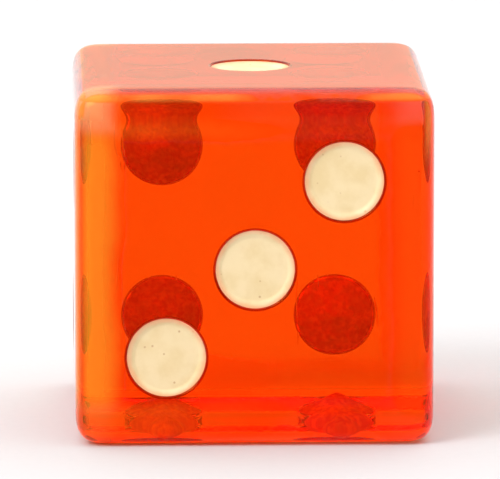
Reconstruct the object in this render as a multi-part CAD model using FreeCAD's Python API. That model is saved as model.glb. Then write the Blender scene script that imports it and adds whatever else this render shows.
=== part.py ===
import FreeCAD, Part
import math
import os

# A casino die: a cube-shaped block with rounded edges and corners, blind sockets drilled
# in its six faces, and one hard filling cast in each socket. Opposite faces add up to
# seven, and one, two and three run anticlockwise round the corner that they share.
# The die stands on its six with the three to the front, which is -Y. The origin is the
# middle of the bottom face and +Z is up. Lengths are in millimetres, angles in degrees.

# The block
edge_length = 19.05      # between opposite faces, three quarters of an inch
edge_radius = 1.4        # of the twelve edges, and of the ball at each corner

# The sockets
pip_diameter = 4.2       # across a socket
pip_web = 0.5            # block left between two neighbours in a row of three pips
pip_land = 0.3           # least flat face between an outer socket and an edge's round
socket_wall = 0.15       # straight wall, from the face down to the drill's cone
drill_angle = 130.0      # whole angle of the cone at the end of a socket

# The fillings
pip_clearance = 0.0      # between a filling and its socket, none because it is cast there
pip_recess = 0.10        # from the face down to the rim of a filling
pip_dish = 0.16          # from the rim of a filling down to its middle

# How far the cutter of a socket stands out of the face
cutter_overrun = 1.0

# Sizes that follow from the ones above
socket_radius = pip_diameter / 2
pip_pitch = pip_diameter + pip_web
flat_beside_sockets = edge_length / 2 - pip_pitch - socket_radius
block_round = min(edge_radius, flat_beside_sockets - pip_land)
half_drill_angle = math.radians(drill_angle / 2)
socket_depth = socket_wall + socket_radius / math.tan(half_drill_angle)

X = FreeCAD.Vector(1, 0, 0)
Y = FreeCAD.Vector(0, 1, 0)
Z = FreeCAD.Vector(0, 0, 1)
block_middle = Z * (edge_length / 2)

# The six faces: a name, the way the face looks, the two ways that its grid of pips is
# counted, and each pip's place in steps of one pitch from the middle of the face.
FACES = [
    ("one", Z, X, Y, {"centre": (0, 0)}),
    ("two", -X, Y, Z, {"front_high": (-1, 1), "back_low": (1, -1)}),
    ("three", -Y, X, Z, {"left_low": (-1, -1), "centre": (0, 0), "right_high": (1, 1)}),
    ("four", Y, X, Z, {"left_low": (-1, -1), "left_high": (-1, 1),
                       "right_low": (1, -1), "right_high": (1, 1)}),
    ("five", X, Y, Z, {"front_low": (-1, -1), "front_high": (-1, 1), "centre": (0, 0),
                       "back_low": (1, -1), "back_high": (1, 1)}),
    ("six", -Z, X, Y, {"left_front": (-1, -1), "left_middle": (-1, 0), "left_back": (-1, 1),
                       "right_front": (1, -1), "right_middle": (1, 0), "right_back": (1, 1)}),
]


def cone_height(radius, gap):
    """Height at a radius of a cone that lies inside the drill's cone by a gap."""
    return -socket_depth + gap / math.sin(half_drill_angle) + radius / math.tan(half_drill_angle)


def point(radius, height):
    """A point of a turned outline, with the axis on Z and the face at height 0."""
    return FreeCAD.Vector(radius, 0, height)


def turned(edges):
    """The solid swept by a closed outline, given as its edges in order, about the Z axis."""
    outline = Part.Wire(edges)
    return Part.Face(outline).revolve(FreeCAD.Vector(0, 0, 0), Z, 360)


def socket_cutter():
    """What the drill takes out: a cylinder that ends in a cone."""
    corners = [
        point(0, cone_height(0, 0)),
        point(socket_radius, cone_height(socket_radius, 0)),
        point(socket_radius, cutter_overrun),
        point(0, cutter_overrun),
        point(0, cone_height(0, 0)),
    ]
    return turned([Part.makeLine(a, b) for a, b in zip(corners, corners[1:])])


def filling():
    """One pip: it fills the socket up to its recess, and its outer face is a shallow ball dish."""
    radius = socket_radius - pip_clearance
    dish_radius = (radius**2 + pip_dish**2) / (2 * pip_dish)
    halfway_rise = dish_radius - math.sqrt(dish_radius**2 - (radius / 2) ** 2)
    tip = point(0, cone_height(0, pip_clearance))
    shoulder = point(radius, cone_height(radius, pip_clearance))
    rim = point(radius, -pip_recess)
    middle = point(0, -pip_recess - pip_dish)
    halfway = point(radius / 2, middle.z + halfway_rise)
    return turned([
        Part.makeLine(tip, shoulder),
        Part.makeLine(shoulder, rim),
        Part.Arc(rim, halfway, middle).toShape(),
        Part.makeLine(middle, tip),
    ])


def pip_placement(outward, across, along, steps):
    """Moves a shape from the Z axis to a pip's place, its height 0 on the block's face."""
    centre = block_middle + outward * (edge_length / 2)
    centre = centre + across * (steps[0] * pip_pitch) + along * (steps[1] * pip_pitch)
    return FreeCAD.Placement(centre, FreeCAD.Rotation(Z, outward))


def placed(shape, placement):
    """A copy of a shape at a placement."""
    copy = shape.copy()
    copy.Placement = placement
    return copy


def rounded_block():
    """The block before drilling."""
    corner = FreeCAD.Vector(-edge_length / 2, -edge_length / 2, 0)
    block = Part.makeBox(edge_length, edge_length, edge_length, corner)
    return block.makeFillet(block_round, block.Edges)


placements = {
    f"{face}_pip_{place}": pip_placement(outward, across, along, steps)
    for face, outward, across, along, places in FACES
    for place, steps in places.items()
}

cutter = socket_cutter()
drilled = rounded_block().cut([placed(cutter, where) for where in placements.values()])
pip = filling()

nodes = {"die_block": drilled.Solids[0]}
for name, where in placements.items():
    nodes[name] = placed(pip, where)

os.makedirs("parts", exist_ok=True)
for name, shape in nodes.items():
    shape.exportStep(f"parts/{name}.step")
    print(f"{name}: {shape.ShapeType}, valid {shape.isValid()}, {shape.Volume:.3f} mm3")
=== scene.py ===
import math

import bpy
import numpy as np
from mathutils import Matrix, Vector


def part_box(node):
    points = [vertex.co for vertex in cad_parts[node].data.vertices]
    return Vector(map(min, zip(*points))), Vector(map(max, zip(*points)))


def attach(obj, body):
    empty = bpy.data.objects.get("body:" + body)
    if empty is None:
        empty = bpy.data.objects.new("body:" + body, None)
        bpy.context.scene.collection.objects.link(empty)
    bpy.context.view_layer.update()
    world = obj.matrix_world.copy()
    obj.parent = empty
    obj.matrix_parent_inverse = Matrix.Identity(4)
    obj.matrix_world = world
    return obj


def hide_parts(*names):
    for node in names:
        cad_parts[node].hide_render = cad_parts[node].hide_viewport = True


# A translucent casino die: one polished block of cellulose acetate, and a cream lacquer
# filling in each of its drilled sockets. All lengths are in metres, in the CAD frame.

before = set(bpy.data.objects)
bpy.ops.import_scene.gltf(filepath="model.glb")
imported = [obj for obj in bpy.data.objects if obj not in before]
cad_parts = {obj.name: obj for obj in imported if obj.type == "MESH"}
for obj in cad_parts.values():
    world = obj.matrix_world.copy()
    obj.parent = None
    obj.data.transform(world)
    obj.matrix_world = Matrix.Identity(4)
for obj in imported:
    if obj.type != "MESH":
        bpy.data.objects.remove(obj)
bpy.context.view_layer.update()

MM = 0.001

# ---------------------------------------------------------------- sizes from the CAD frame

block_low, block_high = (np.array(corner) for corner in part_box("die_block"))
block_middle = (block_low + block_high) / 2
half_edge = (block_high[0] - block_low[0]) / 2

AXES = np.eye(3)
OUTWARD = {"one": AXES[2], "two": -AXES[0], "three": -AXES[1],
           "four": AXES[1], "five": AXES[0], "six": -AXES[2]}
pip_names = [name for name in sorted(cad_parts) if "_pip_" in name]

# Sizes that the boxes of the nodes don't give
edge_round = 2.0 * MM         # width of the round along the edges and at the corners
edge_power = 3.5              # of the round's outline: 2 is a circle, more is tighter in the middle
socket_wall = 0.15 * MM       # straight wall of a socket, down to the drill's cone
mouth_round = 0.14 * MM       # polished lip round the mouth of a socket
bond = 0.015 * MM             # how far a filling keys into the wall of its socket
air_gap = 0.02 * MM           # air left under the block by the roughness of the table
pip_dish = 0.16 * MM          # depth of the hollow in the face of a filling
lacquer_lean = 0.015 * MM     # how far the lacquer set out of level
grain_height = 0.030 * MM     # of the rough back of a filling
longest_grain = 2.4 * MM      # the longest wave in that roughness
ring_height = 0.008 * MM      # of the rings that the drill left
ring_pitch = 0.16 * MM        # from one ring to the next

flat = half_edge - edge_round


# ------------------------------------------------------------------------ surfaces

def cross_grid(points):
    """
    Unit normals of a grid of points whose last column joins the first: the cross product of
    its two central differences.
    """
    down = np.gradient(points, axis=0)
    across = np.roll(points, -1, axis=1) - np.roll(points, 1, axis=1)
    normals = np.cross(down, across)
    length = np.linalg.norm(normals, axis=2, keepdims=True)
    return normals / np.maximum(length, 1e-30)


WELD = 0.0002 * MM            # points this near are one vertex


def welded_mesh(name, patches, skins=None):
    """
    One mesh from grid patches. A patch is (points, normals, closed): two arrays of rows by
    columns by 3, and whether the last column joins the first. Points that meet become one
    vertex. Each face corner keeps its own patch's normal, so a seam is smooth where
    two patches share a tangent plane and crisp where they don't. Faces are wound to agree with
    the normals, and a quad with a side of no length becomes a triangle. Skins gives the number
    of each patch's material.
    """
    quads, quad_skins, offset = [], [], 0
    for number, (points, _, closed) in enumerate(patches):
        rows, columns = points.shape[:2]
        index = offset + np.arange(rows * columns).reshape(rows, columns)
        offset += rows * columns
        left = index if closed else index[:, :-1]
        right = np.roll(index, -1, axis=1) if closed else index[:, 1:]
        corners = [left[:-1], right[:-1], right[1:], left[1:]]
        quads.append(np.stack(corners, axis=-1).reshape(-1, 4))
        quad_skins.append(np.full(len(quads[-1]), skins[number] if skins else 0))
    quads, quad_skins = np.concatenate(quads), np.concatenate(quad_skins)
    points = np.concatenate([patch[0].reshape(-1, 3) for patch in patches])
    normals = np.concatenate([patch[1].reshape(-1, 3) for patch in patches])

    a, b, c, d = (points[quads[:, corner]] for corner in range(4))
    inward = (np.cross(c - a, d - b) * normals[quads].sum(axis=1)).sum(axis=1) < 0
    quads[inward] = quads[inward, ::-1]

    # the small shift keeps round numbers away from the rounding's ties
    cells = np.round(points / WELD + 0.137).astype(np.int64)
    _, first, vertex_of = np.unique(cells, axis=0, return_index=True, return_inverse=True)
    vertex_of = vertex_of.reshape(-1)
    corners = vertex_of[quads]
    repeated = corners == np.roll(corners, 1, axis=1)
    unbroken = ~repeated.any(axis=1)
    whole = quads[unbroken]
    pinched = repeated.sum(axis=1) == 1
    triangles = quads[pinched][~repeated[pinched]].reshape(-1, 3)

    mesh = bpy.data.meshes.new(name)
    faces = vertex_of[whole].tolist() + vertex_of[triangles].tolist()
    mesh.from_pydata(points[first].tolist(), [], faces)
    mesh.polygons.foreach_set("use_smooth", np.ones(len(faces), bool))
    face_skins = np.concatenate([quad_skins[unbroken], quad_skins[pinched]])
    mesh.polygons.foreach_set("material_index", face_skins)
    corner_normals = np.concatenate([normals[used].reshape(-1, 3) for used in (whole, triangles)])
    mesh.normals_split_custom_set(corner_normals.tolist())
    mesh.update()
    piece = bpy.data.objects.new(name, mesh)
    bpy.context.scene.collection.objects.link(piece)
    return piece


def mesh_points(piece):
    """The vertices of a piece, as an array."""
    points = np.empty(len(piece.data.vertices) * 3)
    piece.data.vertices.foreach_get("co", points)
    return points.reshape(-1, 3)


# --------------------------------------------------------------------------- pips

class Socket:
    """Where a pip is: its axis, its middle on the block's face, and its radius and depth."""

    def __init__(self, name):
        low, high = (np.array(corner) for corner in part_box(name))
        self.outward = OUTWARD[name.split("_")[0]]
        self.u, self.v = AXES[np.abs(self.outward) < 0.5]
        centre = (low + high) / 2 - block_middle
        self.x, self.y = centre @ self.u, centre @ self.v
        self.middle = block_middle + self.u * self.x + self.v * self.y + self.outward * half_edge
        self.radius = (high - low) @ self.u / 2
        ends = np.array([(low - self.middle) @ self.outward, (high - self.middle) @ self.outward])
        self.depth = -ends.min()
        self.recess = -ends.max()

    def turned(self, radius, height, angles):
        """Points at a radius from the pip's axis and a height above the face, at each angle."""
        radius, height = np.broadcast_arrays(radius, height)
        spoke = np.cos(angles)[..., None] * self.u + np.sin(angles)[..., None] * self.v
        return self.middle + radius[..., None] * spoke + height[..., None] * self.outward

    def slope(self, along, up, angles):
        """Unit normals that lean outward from the pip's axis by along, and up by up."""
        along, up = np.broadcast_arrays(along, up)
        spoke = np.cos(angles)[..., None] * self.u + np.sin(angles)[..., None] * self.v
        return along[..., None] * spoke + up[..., None] * self.outward


sockets = {name: Socket(name) for name in pip_names}
pip_pitch = max(abs(socket.x) for socket in sockets.values())


# ---------------------------------------------------------------------- the block

STEPS = 20                    # divisions along each third of a face
ROUND_STEPS = 24              # divisions round a quarter turn of an edge
cell_lines = np.array([-flat, -pip_pitch / 2, pip_pitch / 2, flat])
cell_ticks = [np.linspace(a, b, STEPS + 1) for a, b in zip(cell_lines, cell_lines[1:])]
edge_ticks = np.concatenate([ticks[:-1] for ticks in cell_ticks] + [[flat]])


def face_point(outward, u, v, x, y):
    """Points x along u and y along v from the middle of a face."""
    return block_middle + outward * half_edge + x[..., None] * u + y[..., None] * v


def plain_cell(outward, u, v, column, row):
    """A ninth of a face with no pip: a flat grid."""
    x, y = np.meshgrid(cell_ticks[column], cell_ticks[row], indexing="ij")
    points = face_point(outward, u, v, x, y)
    return [(points, np.broadcast_to(outward, points.shape), False)]


def drilled_cell(socket, column, row):
    """
    A ninth of a face with a socket. Straight spokes run from the cell's square outline to the
    circle of the mouth, and the socket goes on from there: a quarter-round lip, a straight
    wall and a cone.
    """
    xs, ys = cell_ticks[column], cell_ticks[row]
    left, right, low, high = (np.full(STEPS, end) for end in (xs[0], xs[-1], ys[0], ys[-1]))
    outline_x = np.concatenate([xs[:-1], right, xs[:0:-1], left])
    outline_y = np.concatenate([low, ys[:-1], high, ys[:0:-1]])
    angles = np.arctan2(outline_y - socket.y, outline_x - socket.x)[None, :]

    wall_radius = socket.radius - bond
    mouth_radius = wall_radius + mouth_round
    share = np.array([0, 0.03, 0.25, 0.5, 0.75, 1])[:, None]
    x = (1 - share) * (socket.x + mouth_radius * np.cos(angles)) + share * outline_x
    y = (1 - share) * (socket.y + mouth_radius * np.sin(angles)) + share * outline_y
    face = face_point(socket.outward, socket.u, socket.v, x, y)

    turn = np.linspace(0, math.pi / 2, 7)[:, None]
    lip = socket.turned(mouth_radius - mouth_round * np.sin(turn),
                        mouth_round * (np.cos(turn) - 1), angles)
    lip_normals = socket.slope(-np.sin(turn), np.cos(turn), angles)

    height = np.linspace(-mouth_round, -socket_wall, 4)[:, None]
    wall = socket.turned(np.full_like(height, wall_radius), height, angles)
    wall_normals = socket.slope(-1.0, 0.0, np.broadcast_to(angles, wall.shape[:2]))

    tip = socket.depth - bond
    share = np.linspace(0, 1, 7)[:, None]
    cone = socket.turned(wall_radius * (1 - share),
                         -socket_wall - (tip - socket_wall) * share, angles)
    slant = math.hypot(tip - socket_wall, wall_radius)
    cone_normals = socket.slope(-(tip - socket_wall) / slant, wall_radius / slant,
                                np.broadcast_to(angles, cone.shape[:2]))
    return [
        (face, np.broadcast_to(socket.outward, face.shape), True),
        (lip, lip_normals, True),
        (wall, wall_normals, True),
        (cone, cone_normals, True),
    ]


def face_patches(face):
    """Nine cells of a face, three by three."""
    outward = OUTWARD[face]
    u, v = AXES[np.abs(outward) < 0.5]
    drilled = {
        (1 + round(socket.x / pip_pitch), 1 + round(socket.y / pip_pitch)): socket
        for name, socket in sockets.items() if name.startswith(face + "_")
    }
    patches = []
    for column in range(3):
        for row in range(3):
            if (column, row) in drilled:
                patches += drilled_cell(drilled[column, row], column, row)
            else:
                patches += plain_cell(outward, u, v, column, row)
    return patches


def rounded(directions):
    """
    Points and normals of the superellipsoid |x|^p + |y|^p + |z|^p = r^p along some directions.
    A point is the direction over its p-norm, times r, and its normal goes as the direction's
    coordinates to the power p - 1.
    """
    size = (np.abs(directions) ** edge_power).sum(axis=-1, keepdims=True) ** (1 / edge_power)
    normals = np.sign(directions) * np.abs(directions) ** (edge_power - 1)
    return edge_round * directions / size, normals / np.linalg.norm(normals, axis=-1, keepdims=True)


def edge_patch(along, one_side, other_side):
    """A rounded edge: it runs along one axis and turns from one side to the other."""
    turn = np.linspace(0, math.pi / 2, ROUND_STEPS + 1)[None, :, None]
    directions = np.cos(turn) * one_side + np.sin(turn) * other_side
    points, normals = rounded(np.broadcast_to(directions, (len(edge_ticks), ROUND_STEPS + 1, 3)))
    axis = edge_ticks[:, None, None] * along + flat * (one_side + other_side)
    return block_middle + axis + points, normals, False


def corner_patch(a, b, c):
    """A rounded corner, by its angle down from c and its angle round from a to b."""
    down, around = np.meshgrid(*[np.linspace(0, math.pi / 2, ROUND_STEPS + 1)] * 2, indexing="ij")
    down, around = down[..., None], around[..., None]
    directions = np.sin(down) * (np.cos(around) * a + np.sin(around) * b) + np.cos(down) * c
    points, normals = rounded(directions)
    return block_middle + flat * (a + b + c) + points, normals, False


def make_block():
    """Six drilled faces, twelve rounded edges and eight rounded corners in one skin."""
    patches = [patch for face in OUTWARD for patch in face_patches(face)]
    signs = (-1, 1)
    x, y, z = AXES
    for along, one, other in ((x, y, z), (y, z, x), (z, x, y)):
        patches += [edge_patch(along, s * one, t * other) for s in signs for t in signs]
    patches += [corner_patch(r * x, s * y, t * z) for r in signs for s in signs for t in signs]
    block = welded_mesh("polished_block", patches)

    # the attribute "mouth" is 1 on the lips of the sockets, where the block's material paints a dark red
    # ring as painted shade
    points = mesh_points(block)
    mouth = np.zeros(len(points))
    for socket in sockets.values():
        height = (points - socket.middle) @ socket.outward
        reach = np.linalg.norm(points - socket.middle - height[:, None] * socket.outward, axis=1)
        slack = 1.01 * mouth_round
        lip = (height > -slack) & (reach < socket.radius - bond + slack)
        mouth = np.maximum(mouth, lip)
    block.data.attributes.new("mouth", "FLOAT", "POINT").data.foreach_set("value", mouth)
    return block


# -------------------------------------------------------------------- the fillings

AROUND = 144                  # divisions round a filling
WALL_ROWS, CONE_ROWS = 12, 40 # divisions along its wall and its cone
WAVES = 26                    # waves in its roughness, of up to 30 turns round it
turn_angles = np.linspace(0, 2 * math.pi, AROUND, endpoint=False)[None, :]


def grain(random, along):
    """
    A rough field from 0 to 1 over a turned surface: a half, plus half the tanh of a sum of
    sine waves. Each goes a whole number of turns round the axis, so that the field closes,
    and its length along the profile is from the longest down to a fourteenth of it.
    """
    field = np.zeros((len(along), AROUND))
    for _ in range(WAVES):
        turns = random.integers(0, 30)
        pace = random.uniform(1, 14) * 2 * math.pi / longest_grain
        phase = random.uniform(0, 2 * math.pi)
        way = random.choice([-1, 1])
        field += np.sin(turns * turn_angles + pace * along[:, None] * way + phase)
    field = field / math.sqrt(2 * WAVES)
    return 0.5 + 0.5 * np.tanh(field)


def make_filling(name, random):
    """
    A turned solid. Its face is flat in the middle, where the lacquer sank as it dried, and
    climbs the wall in a smooth step t^2 (3 - 2t) whose foot wanders a little round the pip. Its
    back copies the drilled socket: a wall and a cone with rings from the drill and grain from
    trapped air, both raised along the surface's own normal.
    """
    socket = sockets[name]
    dish = pip_dish * random.uniform(0.85, 1.05)
    lean_angle, wander_angle = random.uniform(0, 2 * math.pi, 2)
    # shares of the radius: rows stand closer from 0.66 out, and the climb runs from its foot,
    # at about 0.79, to 0.985
    share = np.concatenate([np.linspace(0, 0.66, 8, endpoint=False), np.linspace(0.66, 1, 26)])
    share = share[:, None]
    foot = 0.79 + 0.02 * np.cos(2 * turn_angles + wander_angle)
    foot = foot + 0.015 * np.cos(turn_angles + lean_angle)
    climb = np.clip((share - foot) / (0.985 - foot), 0, 1)
    climb = climb**2 * (3 - 2 * climb)
    lean = lacquer_lean * share * (1 - share**4) * np.cos(turn_angles - lean_angle)
    face = socket.turned(
        np.broadcast_to(socket.radius * share, (len(share), AROUND)),
        -socket.recess - dish * (1 - climb) + lean,
        turn_angles,
    )

    cone_depth = socket.depth - socket_wall
    wall_height = np.linspace(-socket.recess, -socket_wall, WALL_ROWS, endpoint=False)
    cone_share = np.linspace(0, 1, CONE_ROWS)
    radius = np.concatenate([np.full(WALL_ROWS, socket.radius), socket.radius * (1 - cone_share)])
    height = np.concatenate([wall_height, -socket_wall - cone_depth * cone_share])
    slant = math.hypot(cone_depth, socket.radius)
    along = np.concatenate([-wall_height, socket_wall + cone_share * slant])
    rough = grain(random, along)
    rings = 0.5 + 0.5 * np.cos(along[:, None] * 2 * math.pi / ring_pitch + turn_angles)
    # the roughness fades out at the rim and at the tip
    ease = np.clip((along - along[0]) / (0.25 * MM), 0, 1) * np.clip(radius / (0.35 * MM), 0, 1)
    swell = ease[:, None] * (grain_height * rough + ring_height * rings)
    half_angle = math.atan2(socket.radius, cone_depth)
    leans = np.where(np.arange(len(along)) < WALL_ROWS, 0.0, math.pi / 2 - half_angle)
    back = socket.turned(
        np.maximum(radius[:, None] + swell * np.cos(leans)[:, None], 0) * (radius > 0)[:, None],
        height[:, None] - swell * np.sin(leans)[:, None],
        turn_angles,
    )
    face_normals = cross_grid(face)
    face_normals *= np.sign(face_normals @ socket.outward)[..., None]
    face_normals[0] = socket.outward
    back_normals = cross_grid(back)
    spoke = back - socket.middle + socket.outward * socket_wall
    back_normals *= np.sign((back_normals * spoke).sum(axis=2) + 1e-12)[..., None]
    back_normals[-1] = -socket.outward
    patches = [(face, face_normals, True), (back, back_normals, True)]
    filling = welded_mesh(name.replace("pip", "filling"), patches, skins=(0, 1))

    # the attribute "rim" is the distance from the axis as a share of the radius
    spokes = mesh_points(filling) - socket.middle
    spokes -= (spokes @ socket.outward)[:, None] * socket.outward
    rim = np.linalg.norm(spokes, axis=1) / socket.radius
    filling.data.attributes.new("rim", "FLOAT", "POINT").data.foreach_set("value", rim)
    return filling


# ----------------------------------------------------------------------- materials

# Settings of nodes
SMOOTH = {"interpolation_type": "SMOOTHSTEP"}    # a map range node that eases at both ends
COLOURS = {"data_type": "RGBA"}                  # a mix node of colours: inputs 0, 6, 7, output 2
PLUS, MINUS = {"operation": "ADD"}, {"operation": "SUBTRACT"}
TIMES, TIMES_PLUS = {"operation": "MULTIPLY"}, {"operation": "MULTIPLY_ADD"}
LARGER, SMALLER = {"operation": "MAXIMUM"}, {"operation": "MINIMUM"}
UNSIGNED, DOT = {"operation": "ABSOLUTE"}, {"operation": "DOT_PRODUCT"}

# Worn edges and the painted light along them (a lighter haze along the edges, a glint at the corners, a
# highlight on the top ridges), by how far in from the outermost of an edge each starts and is whole
WEAR_AND_GLOW_START, WEAR_AND_GLOW_WHOLE = 2.3 * MM, 0.9 * MM
CORNER_GLINT_START, CORNER_GLINT_WHOLE = 2.8 * MM, 1.0 * MM
RIDGE_HIGHLIGHT_START, RIDGE_HIGHLIGHT_WHOLE = 0.66 * MM, 0.42 * MM
TOP_START, TOP_WHOLE = 3.0 * MM, 1.4 * MM        # how near the top or bottom edge spares it


def linear(code):
    """An sRGB hex colour as linear red, green, blue and alpha."""
    channels = [int(code[i:i + 2], 16) / 255 for i in (1, 3, 5)]
    return tuple(c / 12.92 if c <= 0.04045 else ((c + 0.055) / 1.055) ** 2.4
                 for c in channels) + (1.0,)


def add(tree, kind, inputs=(), settings=(), out=0):
    """
    Adds a node and gives back one of its outputs. Inputs go by name or number: each is a value,
    a hex colour, or the output of another node to link from. Settings are its own properties.
    """
    node = tree.nodes.new(kind)
    for key, value in dict(settings).items():
        setattr(node, key, value)
    for key, value in dict(inputs).items():
        if isinstance(value, bpy.types.NodeSocket):
            tree.links.new(value, node.inputs[key])
        else:
            node.inputs[key].default_value = linear(value) if isinstance(value, str) else value
    return node.outputs[out]


def new_material(name):
    """An empty material, its node tree and its output node."""
    material = bpy.data.materials.new(name)
    material.use_nodes = True
    material.node_tree.nodes.clear()
    return material, material.node_tree, material.node_tree.nodes.new("ShaderNodeOutputMaterial")


def polished_cellulose_acetate():
    """
    Cellulose acetate, cut from a cast sheet and tumble-polished: water-clear surfaces over a
    body that swallows blue and most green, so that light comes out red-orange and long ways
    through the block come out deep red. Handling has left hairline scratches and rougher, worn
    edges. Painted light: a lighter orange haze along the edges, a glint at the corners and pale
    highlights on the top ridges. Painted shade: a dark red ring on the lip of each socket.
    """
    material, tree, output = new_material("polished_cellulose_acetate")
    place = add(tree, "ShaderNodeTexCoord", out="Object")
    from_middle = add(tree, "ShaderNodeVectorMath", {0: place, 1: tuple(block_middle)}, MINUS)
    reach = add(tree, "ShaderNodeVectorMath", {0: from_middle}, UNSIGNED)
    x, y, z = (add(tree, "ShaderNodeSeparateXYZ", {0: reach}, out=axis) for axis in "XYZ")
    side = add(tree, "ShaderNodeSeparateXYZ", {0: from_middle}, out="X")
    height = add(tree, "ShaderNodeSeparateXYZ", {0: place}, out="Z")
    cloud = add(tree, "ShaderNodeTexNoise", {"Vector": place, "Scale": 1 / (4 * MM), "Detail": 3.0})

    # of the three distances from the middle, the second tells how near an edge is, and the
    # least how near a corner is
    largest = add(tree, "ShaderNodeMath", {0: x, 1: y}, LARGER)
    smallest = add(tree, "ShaderNodeMath", {0: x, 1: y}, SMALLER)
    second = add(tree, "ShaderNodeMath", {0: largest, 1: z}, SMALLER)
    second = add(tree, "ShaderNodeMath", {0: smallest, 1: second}, LARGER)
    least = add(tree, "ShaderNodeMath", {0: smallest, 1: z}, SMALLER)

    # painted light along the edges: a lighter orange haze, more on the left side, less on the top and
    # bottom edges, and less on the outermost of each edge; the same mask roughens the worn edges a
    # little
    wander = add(tree, "ShaderNodeMath", {0: cloud, 1: 0.9 * MM, 2: second}, TIMES_PLUS)
    wear_and_painted_glow = add(tree, "ShaderNodeMapRange",
              {0: wander, 1: half_edge - WEAR_AND_GLOW_START, 2: half_edge - WEAR_AND_GLOW_WHOLE}, SMOOTH)
    left = add(tree, "ShaderNodeMapRange",
               {0: side, 1: -half_edge + 2.5 * MM, 2: half_edge - 7 * MM, 3: 1.0, 4: 0.15}, SMOOTH)
    top = block_high[2]
    under_top = add(tree, "ShaderNodeMapRange",
                    {0: height, 1: top - TOP_START, 2: top - TOP_WHOLE, 3: 1.0, 4: 0.08}, SMOOTH)
    over_bottom = add(tree, "ShaderNodeMapRange",
                      {0: height, 1: TOP_WHOLE, 2: TOP_START, 3: 0.2, 4: 1.0}, SMOOTH)
    off_ridge = add(tree, "ShaderNodeMapRange",
                    {0: second, 1: half_edge - 0.75 * MM, 2: half_edge - 0.30 * MM, 3: 1.0, 4: 0.25},
                    SMOOTH)
    for share in (left, under_top, over_bottom, off_ridge):
        wear_and_painted_glow = add(tree, "ShaderNodeMath", {0: wear_and_painted_glow, 1: share}, TIMES)
    # painted glint: a pale peach glow at the corners, more on the left and less near the bottom
    corner = add(tree, "ShaderNodeMapRange",
                 {0: least, 1: half_edge - CORNER_GLINT_START, 2: half_edge - CORNER_GLINT_WHOLE}, SMOOTH)
    for share in (left, over_bottom):
        corner = add(tree, "ShaderNodeMath", {0: corner, 1: share}, TIMES)
    # painted highlight: pale orange patches along the outermost of the top edges
    ridge_highlight = add(tree, "ShaderNodeMapRange",
                {0: second, 1: half_edge - RIDGE_HIGHLIGHT_START, 2: half_edge - RIDGE_HIGHLIGHT_WHOLE}, SMOOTH)
    high = add(tree, "ShaderNodeMapRange", {0: height, 1: 0.75 * top, 2: 0.9 * top}, SMOOTH)
    patches = add(tree, "ShaderNodeMapRange", {0: cloud, 1: 0.35, 2: 0.6}, SMOOTH)
    for share in (high, patches):
        ridge_highlight = add(tree, "ShaderNodeMath", {0: ridge_highlight, 1: share}, TIMES)

    # Hairlines run where a long noise crosses its middle value. Each of the two noises has a
    # turn, and a length of its waves in mm along three directions. Real hairlines are 0.03 mm
    # wide, and are drawn at about 0.06 mm to show.
    lines = []
    for turn, lengths in (((0.5, 0.3, 0.7), (1.43, 16.7, 8.3)), ((1.2, 0.8, -0.6), (11.1, 1.67, 20))):
        stretch = tuple(1 / (length * MM) for length in lengths)
        drawn = add(tree, "ShaderNodeMapping", {"Vector": place, "Rotation": turn, "Scale": stretch})
        wave = add(tree, "ShaderNodeTexNoise", {"Vector": drawn, "Scale": 1.0, "Detail": 2.0})
        off = add(tree, "ShaderNodeMath", {0: wave, 1: 0.5}, MINUS)
        off = add(tree, "ShaderNodeMath", {0: off}, UNSIGNED)
        lines.append(add(tree, "ShaderNodeMapRange", {0: off, 1: 0.0, 2: 0.012, 3: 1.0, 4: 0.0}, SMOOTH))
    handled = add(tree, "ShaderNodeTexNoise", {"Vector": place, "Scale": 1 / (3 * MM), "Detail": 2.0})
    handled = add(tree, "ShaderNodeMapRange", {0: handled, 1: 0.52, 2: 0.62}, SMOOTH)
    scratches = add(tree, "ShaderNodeMath", {0: lines[0], 1: lines[1]}, LARGER)
    scratches = add(tree, "ShaderNodeMath", {0: scratches, 1: handled}, TIMES)
    bump = add(tree, "ShaderNodeBump", {"Strength": 0.25, "Distance": 0.01 * MM, "Height": scratches})

    rough = add(tree, "ShaderNodeMapRange", {0: cloud, 1: 0.3, 2: 0.7, 3: 0.012, 4: 0.03}, SMOOTH)
    rough = add(tree, "ShaderNodeMath", {0: wear_and_painted_glow, 1: 0.06, 2: rough}, TIMES_PLUS)
    # each kind of painted light on the edges, the first of them also marking where the edges are worn:
    # its mask, how much it clouds, the mask at which its colour is whole, and its colour
    wear_and_painted_glows = (
        (wear_and_painted_glow, 0.32, 0.05, "#FFBC34"),
        (corner, 0.34, 0.6, "#FFD48C"),
        (ridge_highlight, 0.25, 0.2, "#FFB850"),
    )
    clear, tint = 1.0, "#FFFFFF"
    for mask, haze, whole, colour in wear_and_painted_glows:
        clear = add(tree, "ShaderNodeMath", {0: mask, 1: -haze, 2: clear}, TIMES_PLUS)
        share = add(tree, "ShaderNodeMapRange", {0: mask, 1: 0.0, 2: whole}, SMOOTH)
        tint = add(tree, "ShaderNodeMix", {0: share, 6: tint, 7: colour}, COLOURS, 2)
    # painted shade: a dark red ring on the lip of each socket, standing in for the dark line that the
    # lip's rounding casts by refraction
    mouth = add(tree, "ShaderNodeAttribute", {}, {"attribute_name": "mouth"}, "Fac")
    tint = add(tree, "ShaderNodeMix", {0: mouth, 6: tint, 7: "#8C0C00"}, COLOURS, 2)

    surface = add(tree, "ShaderNodeBsdfPrincipled", {
        "Base Color": tint, "Roughness": rough, "IOR": 1.49, "Transmission Weight": clear,
        "Specular Tint": "#FFA028", "Normal": bump,
    })
    # each 2.5 mm leaves e^(colour - 1) of the light, so red loses next to nothing
    body = add(tree, "ShaderNodeVolumeAbsorption", {"Color": "#FECC3F", "Density": 1 / (2.5 * MM)})
    tree.links.new(surface, output.inputs["Surface"])
    tree.links.new(body, output.inputs["Volume"])
    return material


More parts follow.
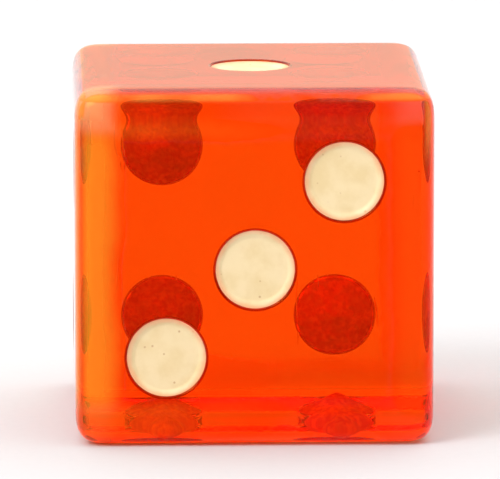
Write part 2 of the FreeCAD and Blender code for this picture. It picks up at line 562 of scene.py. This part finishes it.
def cream_lacquer():
    """
    Cream lacquer, run into the socket and dried: a warm off-white with a satin skin, faint
    clouds from uneven pigment, a few pinholes a tenth of a millimetre wide, and a peach rim that
    is painted shade, tinted by red light from the socket's wall.
    """
    material, tree, output = new_material("cream_lacquer")
    place = add(tree, "ShaderNodeTexCoord", out="Object")
    cloud = add(tree, "ShaderNodeTexNoise", {"Vector": place, "Scale": 1 / (1.2 * MM), "Detail": 4.0})
    pale = add(tree, "ShaderNodeMapRange", {0: cloud, 1: 0.35, 2: 0.65}, SMOOTH)
    tint = add(tree, "ShaderNodeMix", {0: pale, 6: "#EAD7AB", 7: "#E2CC9A"}, COLOURS, 2)
    cells = add(tree, "ShaderNodeTexVoronoi", {"Vector": place, "Scale": 1 / (0.7 * MM)})
    pinholes = add(tree, "ShaderNodeMapRange", {0: cells, 1: 0.05, 2: 0.12, 3: 1.0, 4: 0.0}, SMOOTH)
    tint = add(tree, "ShaderNodeMix", {0: pinholes, 6: tint, 7: "#C9A97C"}, COLOURS, 2)
    # painted shade: the rim is tinted peach, standing in for the red-lit shade that the socket's wall
    # throws on it
    rim = add(tree, "ShaderNodeAttribute", {}, {"attribute_name": "rim"}, "Fac")
    rim = add(tree, "ShaderNodeMath", {0: cloud, 1: 0.14, 2: rim}, TIMES_PLUS)
    painted_rim_shade = add(tree, "ShaderNodeMapRange", {0: rim, 1: 0.90, 2: 1.06, 3: 0.0, 4: 0.8}, SMOOTH)
    tint = add(tree, "ShaderNodeMix", {0: painted_rim_shade, 6: tint, 7: "#EFA878"}, COLOURS, 2)

    skin = add(tree, "ShaderNodeTexNoise", {"Vector": place, "Scale": 1 / (0.35 * MM), "Detail": 3.0})
    skin = add(tree, "ShaderNodeMath", {0: skin, 1: pinholes}, MINUS)
    bump = add(tree, "ShaderNodeBump", {"Strength": 0.35, "Distance": 0.02 * MM, "Height": skin})
    rough = add(tree, "ShaderNodeMapRange", {0: cloud, 1: 0.3, 2: 0.7, 3: 0.28, 4: 0.42}, SMOOTH)
    surface = add(tree, "ShaderNodeBsdfPrincipled",
                  {"Base Color": tint, "Roughness": rough, "IOR": 1.5, "Normal": bump})
    tree.links.new(surface, output.inputs["Surface"])
    return material


def red_shaded_lacquer():
    """
    The same lacquer on the back of each filling, where it keyed into the drilled socket: matt, and
    mottled by trapped air and drill marks a fifth of a millimetre wide. Its coral red is painted
    shade: it stands in for the red light inside the block that falls on the backs.
    """
    material, tree, output = new_material("red_shaded_lacquer")
    place = add(tree, "ShaderNodeTexCoord", out="Object")
    grains = add(tree, "ShaderNodeTexNoise", {"Vector": place, "Scale": 1 / (0.28 * MM), "Detail": 2.0})
    pale = add(tree, "ShaderNodeMapRange", {0: grains, 1: 0.36, 2: 0.64}, SMOOTH)
    # painted shade: the backs are coloured coral red, standing in for the red-lit shade inside the block
    tint = add(tree, "ShaderNodeMix", {0: pale, 6: "#EC3420", 7: "#FF6A44"}, COLOURS, 2)
    cloud = add(tree, "ShaderNodeTexNoise", {"Vector": place, "Scale": 1 / (0.9 * MM), "Detail": 4.0})
    deep = add(tree, "ShaderNodeMapRange", {0: cloud, 1: 0.42, 2: 0.62, 3: 0.0, 4: 0.5}, SMOOTH)
    tint = add(tree, "ShaderNodeMix", {0: deep, 6: tint, 7: "#E01C14"}, COLOURS, 2)
    bump = add(tree, "ShaderNodeBump", {"Strength": 0.6, "Distance": 0.04 * MM, "Height": cloud})
    surface = add(tree, "ShaderNodeBsdfPrincipled",
                  {"Base Color": tint, "Roughness": 0.7, "IOR": 1.5, "Normal": bump})
    tree.links.new(surface, output.inputs["Surface"])
    return material


def pale_table():
    """A matt white laminate tabletop, with a grain of half a millimetre that only dulls it."""
    material, tree, output = new_material("pale_table")
    place = add(tree, "ShaderNodeTexCoord", out="Object")
    speckle = add(tree, "ShaderNodeTexNoise", {"Vector": place, "Scale": 1 / (0.5 * MM), "Detail": 2.0})
    tint = add(tree, "ShaderNodeMix", {0: speckle, 6: "#CBCCCE", 7: "#C7C8CA"}, COLOURS, 2)
    bump = add(tree, "ShaderNodeBump", {"Strength": 0.05, "Distance": 0.02 * MM, "Height": speckle})
    surface = add(tree, "ShaderNodeBsdfPrincipled",
                  {"Base Color": tint, "Roughness": 0.85, "Normal": bump})
    tree.links.new(surface, output.inputs["Surface"])
    return material


# ------------------------------------------------------------- camera, light and floor

# Brightnesses, where the walls of the tent at its back and sides are 1
TENT_FRONT, TENT_ROOF, KEY, REFLECTOR, FILL = 0.45, 2.1, 6.5, 0.3, 1.0
KEY_AZIMUTH, KEY_ELEVATION = -50, 40


def bearing(azimuth, elevation):
    """The way to something at an azimuth, counted from the front towards +X, and an elevation."""
    a, e = math.radians(azimuth), math.radians(elevation)
    return Vector((math.sin(a) * math.cos(e), -math.cos(a) * math.cos(e), math.sin(e)))


def aimed(item, azimuth, elevation, distance):
    """Puts a camera or lamp at a bearing and distance from the block's middle, pointing there."""
    back = bearing(azimuth, elevation)
    item.location = Vector(block_middle) + back * distance
    item.rotation_euler = (-back).to_track_quat("-Z", "Y").to_euler()
    bpy.context.scene.collection.objects.link(item)


def make_camera():
    """A long lens, a little to the left and above."""
    lens = bpy.data.cameras.new("camera")
    lens.lens = 560
    camera = bpy.data.objects.new("camera", lens)
    aimed(camera, azimuth=-1.7, elevation=9.7, distance=0.42)
    bpy.context.scene.camera = camera


def make_studio():
    """
    A white tent, brighter in its roof and darker in front, with a cream reflector low round it.
    The key light shines through its cloth high on the left, as a round patch with a soft edge.
    """
    world = bpy.data.worlds.new("white_tent")
    world.use_nodes = True
    tree = world.node_tree
    place = add(tree, "ShaderNodeTexCoord", out="Generated")
    y, z = (add(tree, "ShaderNodeSeparateXYZ", {0: place}, out=axis) for axis in "YZ")
    walls = add(tree, "ShaderNodeMapRange", {0: y, 1: -0.6, 2: -0.05, 3: TENT_FRONT, 4: 1.0}, SMOOTH)
    roof = add(tree, "ShaderNodeMapRange", {0: z, 1: 0.45, 2: 0.9, 3: 0.0, 4: TENT_ROOF - 1}, SMOOTH)
    # the key's patch fades between 12 and 19 degrees from its middle
    to_key = bearing(KEY_AZIMUTH, KEY_ELEVATION)
    near_key = add(tree, "ShaderNodeVectorMath", {0: place, 1: to_key}, DOT, "Value")
    outer, inner = math.cos(math.radians(19)), math.cos(math.radians(12))
    key = add(tree, "ShaderNodeMapRange", {0: near_key, 1: outer, 2: inner, 3: 0.0, 4: KEY}, SMOOTH)
    above = add(tree, "ShaderNodeMapRange", {0: z, 1: 0.03, 2: 0.06}, SMOOTH)
    below = add(tree, "ShaderNodeMapRange", {0: z, 1: 0.30, 2: 0.45, 3: 1.0, 4: 0.0}, SMOOTH)
    reflector = add(tree, "ShaderNodeMath", {0: above, 1: below}, TIMES)
    warm = add(tree, "ShaderNodeMix", {0: reflector, 6: "#FFFFFF", 7: "#FFDCC0"}, COLOURS, 2)
    total = add(tree, "ShaderNodeMath", {0: reflector, 1: REFLECTOR, 2: walls}, TIMES_PLUS)
    for part in (roof, key):
        total = add(tree, "ShaderNodeMath", {0: total, 1: part}, PLUS)
    tree.links.new(warm, tree.nodes["Background"].inputs["Color"])
    tree.links.new(total, tree.nodes["Background"].inputs["Strength"])
    bpy.context.scene.world = world

    # a square lamp's power is its brightness times its area times pi
    lamp = bpy.data.lights.new("fill", "AREA")
    lamp.size = 0.5
    lamp.energy = FILL * lamp.size**2 * math.pi
    box = bpy.data.objects.new("fill", lamp)
    box.visible_camera = False
    aimed(box, KEY_AZIMUTH, KEY_ELEVATION, distance=1.2)

    half_width = 3.0
    signs = ((-1, -1), (1, -1), (1, 1), (-1, 1))
    corners = [(x * half_width, y * half_width, -air_gap) for x, y in signs]
    mesh = bpy.data.meshes.new("table_top")
    mesh.from_pydata(corners, [], [(0, 1, 2, 3)])
    table = bpy.data.objects.new("table_top", mesh)
    bpy.context.scene.collection.objects.link(table)
    table.data.materials.append(pale_table())


# --------------------------------------------------------------------------- making

make_camera()
make_studio()
bpy.context.scene.view_settings.view_transform = "Standard"
bpy.context.scene.cycles.max_bounces = 24
bpy.context.scene.cycles.transmission_bounces = 24
bpy.context.scene.cycles.glossy_bounces = 12

block = make_block()
block.data.materials.append(polished_cellulose_acetate())
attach(block, "root")
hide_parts("die_block")

# the backs of the fillings are painted coral red as red-lit shade
lacquer, red_shaded_backs = cream_lacquer(), red_shaded_lacquer()
for number, name in enumerate(pip_names):
    filling = make_filling(name, np.random.default_rng(number))
    filling.data.materials.append(lacquer)
    filling.data.materials.append(red_shaded_backs)
    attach(filling, "root")
    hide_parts(name)
